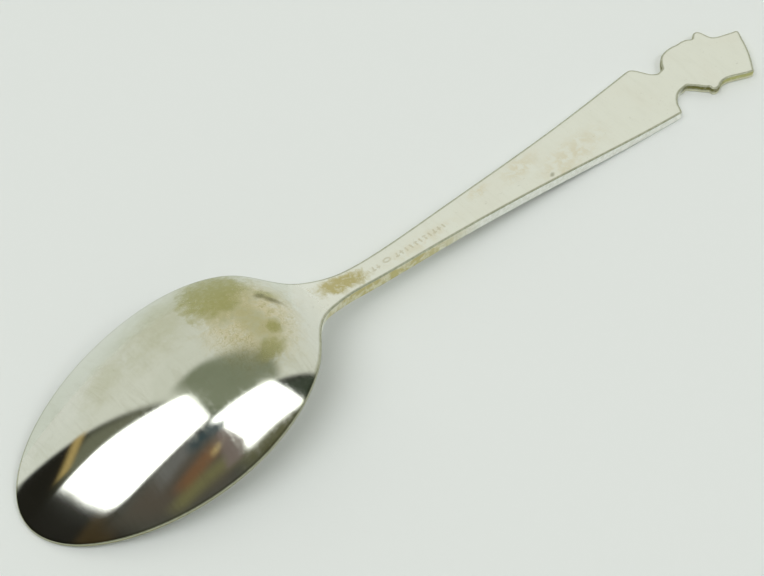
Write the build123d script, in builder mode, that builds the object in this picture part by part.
from build123d import *
import math
import os

os.makedirs("parts", exist_ok=True)

# ---------------------------------------------------------------------------
# Souvenir teaspoon, struck from one blank of silver-plated nickel brass.
# It lies as it does on a table: hollow of the bowl downwards, back upwards.
# +X runs from the bowl's tip to the top of the hat, +Z up. The origin is
# midway along the length, on the surface that the spoon rests on.
# Stations "s" below are distances from the bowl's tip along +X.
# The regions of the blank are cut from one continuous pair of surfaces, so
# neighbours meet face to face.
# ---------------------------------------------------------------------------

LENGTH = 151.5            # overall, tip of bowl to top of hat
BOWL_ROOT = 51.3          # station where the bowl's oval would close
BOWL_END = 50.5           # station where the bowl passes into the neck
NECK_END = 68.0           # station where the neck passes into the stem
STEM_END = 133.0          # station of the narrow waist under the head

BOWL_WALL = 1.0           # wall of the bowl, square to its surface
RIM_LAND = 0.55           # height of the rim's edge band
ARCH = 0.0272             # transverse arch of the bowl, 1/mm
PLATE = 1.5               # thickness of head and hat over their borders
EDGE_BEVEL = 0.22         # small bevel along the back edges

BORDER = 0.95             # width of the raised border on the front
FRONT_RECESS = 0.45       # depth of the ground inside the border

HEAD_TILT = -27.0         # degrees, the head leans towards -Y
FACE_GROUND = 0.70        # height of the plate behind the face
FACE_CROWN = 0.40         # rise of the cheeks over that plate
FACE_WIDE = 3.65          # half-width of the sunk oval that holds the face
FACE_TALL = 3.25          # half-height of it, from chin to brim
FACE_GAP = 0.08           # narrow groove all round the face
HAT_RECESS = 0.35         # depth of the crown's sunk panel

# outline: station, half-width squared, from the heel of the bowl onwards
WAIST = [
    (46.0, 116.5), (48.0, 75.3), (49.5, 46.3), (51.0, 27.4), (52.5, 17.3),
    (54.0, 12.3), (56.0, 8.65), (58.0, 6.35), (60.0, 5.20), (62.0, 4.86),
    (65.0, 4.95), (69.0, 5.42), (74.0, 6.38), (80.0, 7.95), (86.0, 9.90),
    (92.0, 12.27), (98.0, 15.21), (104.0, 18.99), (110.0, 23.79),
    (116.0, 29.56), (122.0, 35.99), (126.0, 40.36), (129.2, 43.9),
]
# height of the back edge over the table at each station
EDGE = [
    (-2.0, 0.20), (0.0, RIM_LAND), (6.0, 1.69), (12.0, 2.87), (18.0, 4.03),
    (24.0, 5.21), (30.0, 6.48), (35.0, 7.60), (39.0, 8.47), (42.0, 9.06),
    (45.0, 9.49), (47.5, 9.55), (50.0, 9.14), (52.5, 8.40), (55.0, 7.63),
    (57.5, 6.93), (60.0, 6.35), (63.0, 5.80), (66.0, 5.42), (70.0, 5.08),
    (75.0, 4.80), (81.0, 4.50), (87.0, 4.14), (93.0, 3.71), (99.0, 3.24),
    (105.0, 2.76), (111.0, 2.31), (117.0, 1.94), (123.0, 1.67),
    (128.0, 1.55), (133.0, 1.50), (138.0, 1.50), (144.0, 1.50),
]
# thickness from the back edge down to the front edge
THICK = [
    (-2.0, RIM_LAND), (20.0, RIM_LAND), (36.0, 0.55), (42.0, 0.56), (47.0, 0.66),
    (50.0, 0.92), (52.5, 1.25), (55.0, 1.62), (58.0, 1.96), (62.0, 2.15),
    (68.0, 2.10), (76.0, 2.01), (90.0, 2.0), (100.0, 1.97), (108.0, 1.90),
    (116.0, 1.77), (123.0, 1.62), (128.0, 1.54), (133.0, 1.49), (138.0, 1.49), (144.0, 1.49),
]
# transverse arch of the back, 1/mm: full in the bowl, flat on the stem
ARCHES = [
    (-2.0, ARCH), (20.0, ARCH), (38.0, ARCH), (46.0, 0.0276), (50.0, 0.0288),
    (54.0, 0.0315), (57.0, 0.0325), (60.0, 0.028), (63.0, 0.0165), (66.0, 0.0045),
    (68.0, 0.0), (69.0, 0.0), (72.0, 0.0), (100.0, 0.0), (144.0, 0.0),
]
# wall of the bowl, square to its surface: it thickens where the hollow runs out
WALLS = [
    (-2.0, BOWL_WALL), (20.0, BOWL_WALL), (36.0, BOWL_WALL), (41.0, 1.03), (44.0, 1.15),
    (46.5, 1.45), (49.0, 2.05), (52.0, 3.0), (57.0, 4.4),
]


def cubic(table):
    """Natural cubic spline through a table of (station, value)."""
    xs = [p[0] for p in table]
    ys = [p[1] for p in table]
    n = len(xs)
    h = [xs[i + 1] - xs[i] for i in range(n - 1)]
    diag, rhs = [1.0] * n, [0.0] * n
    upper = [0.0] * n
    for i in range(1, n - 1):
        w = h[i - 1]
        diag[i] = 2 * (h[i - 1] + h[i]) - w * upper[i - 1]
        upper[i] = h[i] / diag[i]
        slope = (ys[i + 1] - ys[i]) / h[i] - (ys[i] - ys[i - 1]) / h[i - 1]
        rhs[i] = (6 * slope - w * rhs[i - 1]) / diag[i]
    m = [0.0] * n
    for i in range(n - 2, 0, -1):
        m[i] = rhs[i] - upper[i] * m[i + 1]

    def curve(x):
        x = min(max(x, xs[0]), xs[-1])
        i = 0
        while i < n - 2 and x > xs[i + 1]:
            i += 1
        a, b = xs[i + 1] - x, x - xs[i]
        return (
            (m[i] * a**3 + m[i + 1] * b**3) / (6 * h[i])
            + (ys[i] / h[i] - m[i] * h[i] / 6) * a
            + (ys[i + 1] / h[i] - m[i + 1] * h[i] / 6) * b
        )

    return curve


def oval(s):
    """Half-width squared of the bowl's oval, negative beyond its ends."""
    return s * (BOWL_ROOT - s) * (0.347 + 0.0028 * s)


outline_table = [(s, oval(s)) for s in (20.0, 24.0, 28.0, 32.0, 36.0, 40.0, 43.0)] + WAIST
waist_curve = cubic(outline_table)
edge_curve = cubic(EDGE)
thick_curve = cubic(THICK)
arch_curve = cubic(ARCHES)
wall_curve = cubic(WALLS)


def half_sq(s):
    return oval(s) if s < 32.0 else waist_curve(s)


def half(s):
    return math.sqrt(max(half_sq(s), 0.0))


def back(s, y):
    return edge_curve(s) + arch_curve(s) * (half_sq(s) - y * y)


def inside(s, y):
    e = 0.05
    gx = (back(s + e, y) - back(s - e, y)) / (2 * e)
    gy = (back(s, y + e) - back(s, y - e)) / (2 * e)
    return back(s, y) - wall_curve(s) * math.sqrt(1 + gx * gx + gy * gy)


def run(s):
    """Slope of the outline at a station."""
    return (half(s + 0.05) - half(s - 0.05)) / 0.1


def X(s):
    return s - LENGTH / 2


# --- cutting tools shared by bowl and neck ---------------------------------
s_grid = [-1.5 + 1.15 * i for i in range(63)]        # to station 69.8
y_grid = [-18.0 + 0.9 * j for j in range(41)]
back_face = Face.make_surface_from_array_of_points(
    [[(X(s), y, back(s, y)) for y in y_grid] for s in s_grid], tol=0.004, min_deg=3, max_deg=5
)
inner_grid = [s for s in s_grid if s < 57]
inner_face = Face.make_surface_from_array_of_points(
    [[(X(s), y, inside(s, y)) for y in y_grid] for s in inner_grid], tol=0.004, min_deg=3, max_deg=5
)
above_back = extrude(back_face, amount=30, dir=(0, 0, 1), mode=Mode.PRIVATE)
below_inner = extrude(inner_face, amount=30, dir=(0, 0, -1), mode=Mode.PRIVATE)


def front_points(stations):
    return [(X(s), edge_curve(s) - thick_curve(s)) for s in stations]


with BuildPart() as under:                            # everything below the front surface
    with BuildSketch(Plane.XZ) as under_sk:
        with BuildLine():
            low = Spline(*front_points([-1.5 + 1.5 * i for i in range(48)]))
            Polyline(low @ 1, (X(69.0), -20), (X(-1.5), -20), low @ 0)
        make_face()
    extrude(amount=25, both=True)
under_front = under.part

# --- bowl -------------------------------------------------------------------
side = [0.12, 0.5, 1.2, 2.3, 3.8, 5.8, 8.3, 11.5, 15.5, 20.0, 25.0, 30.0, 35.0, 39.0,
        42.0, 44.5, 46.5, 48.2, 49.5, BOWL_END]
with BuildPart() as bowl:
    with BuildSketch(Plane.XY.offset(-1)) as bowl_sk:
        with BuildLine():
            rim_a = Spline(
                (X(0), 0), *[(X(s), half(s)) for s in side],
                tangents=[(0, 1), (1, run(BOWL_END))],
            )
            Line(rim_a @ 1, (X(BOWL_END), -half(BOWL_END)))
            mirror(rim_a, about=Plane.XZ)
        make_face()
    extrude(amount=24)
    add(above_back, mode=Mode.SUBTRACT)
    add(under_front, mode=Mode.SUBTRACT)
    add(below_inner, mode=Mode.SUBTRACT)
bowl.part.label = "bowl"

# --- neck -------------------------------------------------------------------
neck_side = [BOWL_END, 51.3, 52.2, 53.2, 54.5, 56.0, 58.0, 60.0, 62.0, 64.0, 66.0, NECK_END]
with BuildPart() as neck:
    with BuildSketch(Plane.XY) as neck_sk:
        with BuildLine():
            neck_a = Spline(*[(X(s), half(s)) for s in neck_side], tangents=[(1, run(BOWL_END)), (1, run(NECK_END))])
            neck_b = Spline(*[(X(s), -half(s)) for s in neck_side], tangents=[(1, -run(BOWL_END)), (1, -run(NECK_END))])
            Line(neck_a @ 0, neck_b @ 0)
            Line(neck_a @ 1, neck_b @ 1)
        make_face()
    extrude(amount=24)
    add(above_back, mode=Mode.SUBTRACT)
    add(under_front, mode=Mode.SUBTRACT)
neck.part.label = "neck"

# --- stem with its shoulders ---------------------------------------------------
stem_s = [NECK_END, 72, 77, 82, 87, 92, 97, 102, 107, 112, 117, 122, 126, 129.2]
stem_w = [half(s) for s in stem_s]
shoulder_l = [(129.9, 6.5), (130.6, 5.83), (131.15, 4.93), (131.65, 4.0), (132.25, 3.2), (STEM_END, 2.7)]
shoulder_r = [(129.75, -5.85), (130.25, -4.85), (130.9, -4.05), (131.65, -3.4), (132.35, -3.0), (STEM_END, -2.8)]


def stem_outline(inset=0.0, start=NECK_END, stop=None):
    """Closed outline of the stem's plan, optionally drawn in by an inset."""
    left = [(X(s), w - inset) for s, w in zip(stem_s, stem_w) if s > start]
    left = [(X(start), half(start) - inset)] + left
    right = [(x, -w) for x, w in left]
    return left, right


def front_slab(lo, hi, start, stop):
    """Slab that follows the stem's front surface, from lo to hi above it."""
    st = [start + (stop - start) * i / 14 for i in range(15)]
    with BuildPart() as slab:
        with BuildSketch(Plane.XZ):
            with BuildLine():
                a = Spline(*[(X(s), edge_curve(s) - thick_curve(s) + lo) for s in st])
                b = Spline(*[(X(s), edge_curve(s) - thick_curve(s) + hi) for s in st])
                Line(a @ 0, b @ 0)
                Line(a @ 1, b @ 1)
            make_face()
        extrude(amount=9, both=True)
    return slab.part


# ground of the front panel: everything inside the border, down to the recess
with BuildPart() as ground:
    with BuildSketch(Plane.XY.offset(-3)) as ground_sk:
        with BuildLine():
            gl, gr = stem_outline(inset=BORDER, start=80.0)
            ga = Spline(*gl)
            gb = Spline(*gr)
            ThreePointArc(ga @ 0, (X(80.0) - (half(80.0) - BORDER), 0), gb @ 0)
            Polyline(ga @ 1, (X(130.3), 3.6), (X(130.9), 1.9), (X(130.9), -2.1), (X(130.3), -3.4), gb @ 1)
        make_face()
    extrude(amount=12)
    add(front_slab(-4.0, FRONT_RECESS, 76.0, 132.9), mode=Mode.INTERSECT)

with BuildPart() as stem:
    with BuildSketch(Plane.XZ) as stem_profile:
        with BuildLine():
            t = Spline(*[(X(s), edge_curve(s)) for s in stem_s + [STEM_END]])
            b = Spline(*[(X(s), edge_curve(s) - thick_curve(s)) for s in stem_s + [STEM_END]])
            Line(t @ 0, b @ 0)
            Line(t @ 1, b @ 1)
        make_face()
    extrude(amount=10, both=True)
    with BuildSketch(Plane.XY) as stem_plan:
        with BuildLine():
            left, right = stem_outline()
            la = Spline(*left, tangents=[(1, run(NECK_END)), (1, run(129.1))])
            lb = Spline(la @ 1, *[(X(s), y) for s, y in shoulder_l], tangents=[(0.35, -0.2), (1, -0.3)])
            ra = Spline(*right, tangents=[(1, -run(NECK_END)), (1, -run(129.1))])
            rb = Spline(ra @ 1, *[(X(s), y) for s, y in shoulder_r], tangents=[(0.35, 0.2), (1, 0.3)])
            Line(la @ 0, ra @ 0)
            Line(lb @ 1, rb @ 1)
        make_face()
    extrude(amount=12, mode=Mode.INTERSECT)
    long_back = stem.edges().filter_by(lambda e: e.length > 40).group_by(Axis.Z)[-1]
    chamfer(long_back, length=EDGE_BEVEL)
    add(ground.part, mode=Mode.SUBTRACT)
stem.part.label = "stem"

# --- head: neck, jaw and ears in one plate, the face in relief on its front ----
brim_l = (144.3, 5.0)             # the line where the head meets the brim
brim_r = (137.35, -5.95)
mid = ((brim_l[0] + brim_r[0]) / 2, (brim_l[1] + brim_r[1]) / 2)
ax, ay = math.cos(math.radians(HEAD_TILT)), math.sin(math.radians(HEAD_TILT))
chin = (mid[0] - 7.2 * ax, mid[1] - 7.2 * ay)


def on_head(u, v):
    """Point u above the chin along the head's axis and v across it."""
    return (X(chin[0] + u * ax - v * ay), chin[1] + u * ay + v * ax)


jaw = [(0.0, 0.0), (0.12, 1.45), (0.75, 3.05), (1.9, 4.2), (3.3, 4.95), (4.5, 5.35),
       (5.2, 5.7), (6.1, 6.0), (6.9, 6.05), (7.6, 5.9), (9.2, 5.6), (12.0, 5.0)]

with BuildPart() as brim_side:                        # the far side of the brim's lower edge
    with BuildSketch(Plane.XY.offset(-1)):
        with BuildLine():
            ex, ey = brim_l[0] - brim_r[0], brim_l[1] - brim_r[1]
            p0 = (X(brim_r[0] - ex), brim_r[1] - ey)
            p1 = (X(brim_l[0] + ex), brim_l[1] + ey)
            Polyline(p0, p1, (p1[0] + 30, p1[1] - 15), (p0[0] + 30, p0[1] - 15), p0)
        make_face()
    extrude(amount=5)

with BuildPart() as head:
    with BuildSketch(Plane.XY):
        with BuildLine():
            jl = Spline(*[on_head(u, v) for u, v in jaw], tangents=[(-ay, ax), (ax, ay)])
            jr = Spline(*[on_head(u, -v) for u, v in jaw], tangents=[(ay, -ax), (ax, ay)])
            Line(jl @ 1, jr @ 1)
        make_face()
        with BuildLine():
            Polyline((X(STEM_END), 2.7), (X(STEM_END + 2.2), 3.1), (X(STEM_END + 3.4), -1.0), (X(STEM_END + 2.4), -2.6), (X(STEM_END), -2.8), (X(STEM_END), 2.7))
        make_face()
    extrude(amount=PLATE)
    face_plane = Plane(origin=(*on_head(3.8, 0), FACE_GROUND), x_dir=(ax, ay, 0), z_dir=(0, 0, -1))
    with BuildSketch(face_plane):                     # sunk ground behind the face
        Ellipse(FACE_WIDE, FACE_TALL, rotation=90)
    extrude(amount=FACE_GROUND + 0.5, mode=Mode.SUBTRACT)
    add(brim_side.part, mode=Mode.SUBTRACT)
head.part.label = "head"

CHEEK_R = 13.0                    # the cheeks are one shallow dome
with BuildPart() as face_relief:
    with BuildSketch(face_plane):
        Ellipse(FACE_WIDE - FACE_GAP, FACE_TALL - FACE_GAP, rotation=90)
    extrude(amount=0.6)
    with Locations(face_plane.offset(FACE_CROWN - CHEEK_R)):
        Sphere(CHEEK_R, mode=Mode.INTERSECT)
    # nose, brows, eyelids, lips and chin; local x runs from chin to forehead
    with BuildSketch(face_plane.offset(0.02)):
        Polygon((-0.80, 0.55), (-0.80, -0.55), (1.6, -0.20), (1.6, 0.20), align=None)
    extrude(amount=FACE_CROWN + 0.12)
    for px, py, rx, ry, top in (
        (2.0, 1.30, 0.18, 0.78, 0.44), (2.0, -1.30, 0.18, 0.78, 0.44),
        (1.35, 1.25, 0.22, 0.50, 0.43), (1.35, -1.25, 0.22, 0.50, 0.43),
        (-1.65, 0.0, 0.14, 0.82, 0.45), (-2.00, 0.0, 0.16, 0.60, 0.44),
        (-2.60, 0.0, 0.28, 0.60, 0.34),
    ):
        with BuildSketch(face_plane.offset(0.02)):
            with Locations((px, py)):
                Ellipse(max(rx, ry), min(rx, ry), rotation=90 if ry > rx else 0)
        extrude(amount=top - 0.02)
face_relief.part.label = "face_relief"

# --- hat -------------------------------------------------------------------------
hat_pts = [
    brim_r, (137.5, -6.4), (138.1, -6.65), (138.75, -6.6), (139.4, -6.3), (140.1, -6.05),
    (141.1, -6.1), (142.1, -6.4), (143.55, -7.05), (145.0, -7.7), (146.1, -8.0),
    (147.4, -6.4), (148.5, -4.95), (149.55, -3.3), (150.6, -1.3), (LENGTH, 0.75),
    (150.3, 1.2), (149.0, 1.65), (147.7, 2.1), (146.9, 2.6), (146.55, 3.4), (146.35, 4.5), (145.95, 5.3),
    (145.2, 5.5), brim_l,
]
with BuildPart() as hat:
    with BuildSketch(Plane.XY):
        with BuildLine():
            Polyline(*[(X(a), b) for a, b in hat_pts], (X(brim_r[0]), brim_r[1]))
        make_face()
    extrude(amount=PLATE)
    with BuildSketch(Plane.XY):
        with BuildLine():
            crown = [(141.95, -5.6), (145.5, -6.95), (147.9, -4.6), (150.4, 0.25), (146.95, 1.55)]
            Polyline(*[(X(a), b) for a, b in crown], (X(crown[0][0]), crown[0][1]))
        make_face()
    extrude(amount=HAT_RECESS, mode=Mode.SUBTRACT)
hat.part.label = "hat"

band_a = [(142.1, -5.62), (143.45, -6.13), (148.36, 0.98), (147.0, 1.5)]
with BuildPart() as hat_band:
    with BuildSketch(Plane.XY.offset(0.1)):
        with BuildLine():
            Polyline(*[(X(a), b) for a, b in band_a], (X(band_a[0][0]), band_a[0][1]))
        make_face()
    extrude(amount=HAT_RECESS - 0.1)
hat_band.part.label = "hat_band"

# --- coat, tie and buttons in low relief on the stem's front ---------------------
relief_slab = front_slab(0.12, FRONT_RECESS, 108.0, 132.9)
with BuildPart() as coat_lapels:
    for side_sign in (1, -1):
        with BuildSketch(Plane.XY.offset(-3)):
            with BuildLine():
                pts = [(113.5, 0.35), (128.0, 2.3), (129.6, 3.3), (127.6, 4.6), (124.2, 3.5), (123.4, 4.3), (119.5, 2.6)]
                Polyline(*[(X(a), side_sign * b) for a, b in pts], (X(pts[0][0]), side_sign * pts[0][1]))
            make_face()
        extrude(amount=12)
    add(relief_slab, mode=Mode.INTERSECT)
coat_lapels.part.label = "coat_lapels"

with BuildPart() as bow_tie:
    with BuildSketch(Plane.XY.offset(-3)):
        with BuildLine():
            pts = [(128.7, 0.45), (129.9, 2.0), (127.9, 2.0), (128.1, 0.45)]
            Polyline(*[(X(a), b) for a, b in pts], *[(X(a), -b) for a, b in reversed(pts)], (X(pts[0][0]), pts[0][1]))
        make_face()
    extrude(amount=12)
    add(relief_slab, mode=Mode.INTERSECT)
bow_tie.part.label = "bow_tie"

with BuildPart() as shirt_buttons:
    with BuildSketch(Plane.XY.offset(-3)):
        with Locations((X(125.6), 0), (X(122.6), 0), (X(119.6), 0)):
            Circle(0.42)
    extrude(amount=12)
    add(relief_slab, mode=Mode.INTERSECT)
shirt_buttons.part.label = "shirt_buttons"

for piece in (bowl, neck, stem, head, face_relief, hat, hat_band, coat_lapels, bow_tie, shirt_buttons):
    export_step(piece.part, f"parts/{piece.part.label}.step")
    box = piece.part.bounding_box()
    print(piece.part.label, round(piece.part.volume, 3), len(piece.part.solids()), box.min, box.max, piece.part.is_valid)
